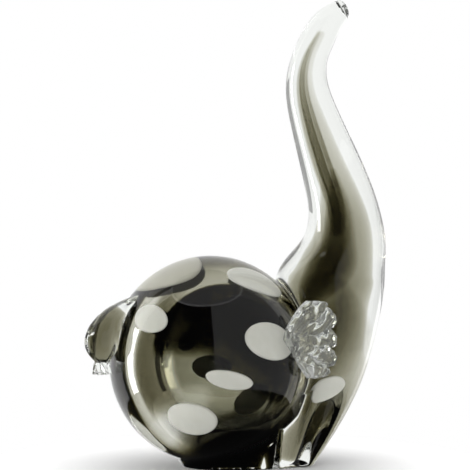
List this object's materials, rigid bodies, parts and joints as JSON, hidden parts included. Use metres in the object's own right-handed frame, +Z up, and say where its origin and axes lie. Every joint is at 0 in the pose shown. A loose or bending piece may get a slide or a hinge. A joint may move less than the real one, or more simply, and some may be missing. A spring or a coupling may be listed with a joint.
{
  "type": "glass elephant figurine",
  "caption": "Hand-worked layered glass elephant with a raised trunk: clear casing over a hollow smoke-grey gather with white spots, ribbed ears and a drop tail.",
  "frame": {"origin": "on the ground-flat base, in the middle plane of the elephant, below the front of the body ball", "axes": "+Z up, +X the way the elephant faces, +Y towards its left side"},
  "size_m": [0.1493, 0.088, 0.2202],
  "materials": {
    "clear_glass": "fire-polished clear glass",
    "smoke_glass": "fire-polished smoke-grey glass",
    "opal_glass": "opaque white glass"
  },
  "bodies": {
    "root": {"clear_casing": "clear_glass", "smoke_core": "smoke_glass", "spot_right_rump": "opal_glass", "spot_right_thigh": "opal_glass", "spot_right_flank": "opal_glass", "spot_right_shoulder": "opal_glass", "spot_right_withers": "opal_glass", "spot_right_chest": "opal_glass", "spot_left_back": "opal_glass", "spot_left_thigh": "opal_glass", "spot_left_flank": "opal_glass", "spot_left_shoulder": "opal_glass", "spot_left_belly": "opal_glass", "spot_left_withers": "opal_glass", "right_ear": "clear_glass", "left_ear": "clear_glass", "tail": "clear_glass"}
  },
  "joints": []
}
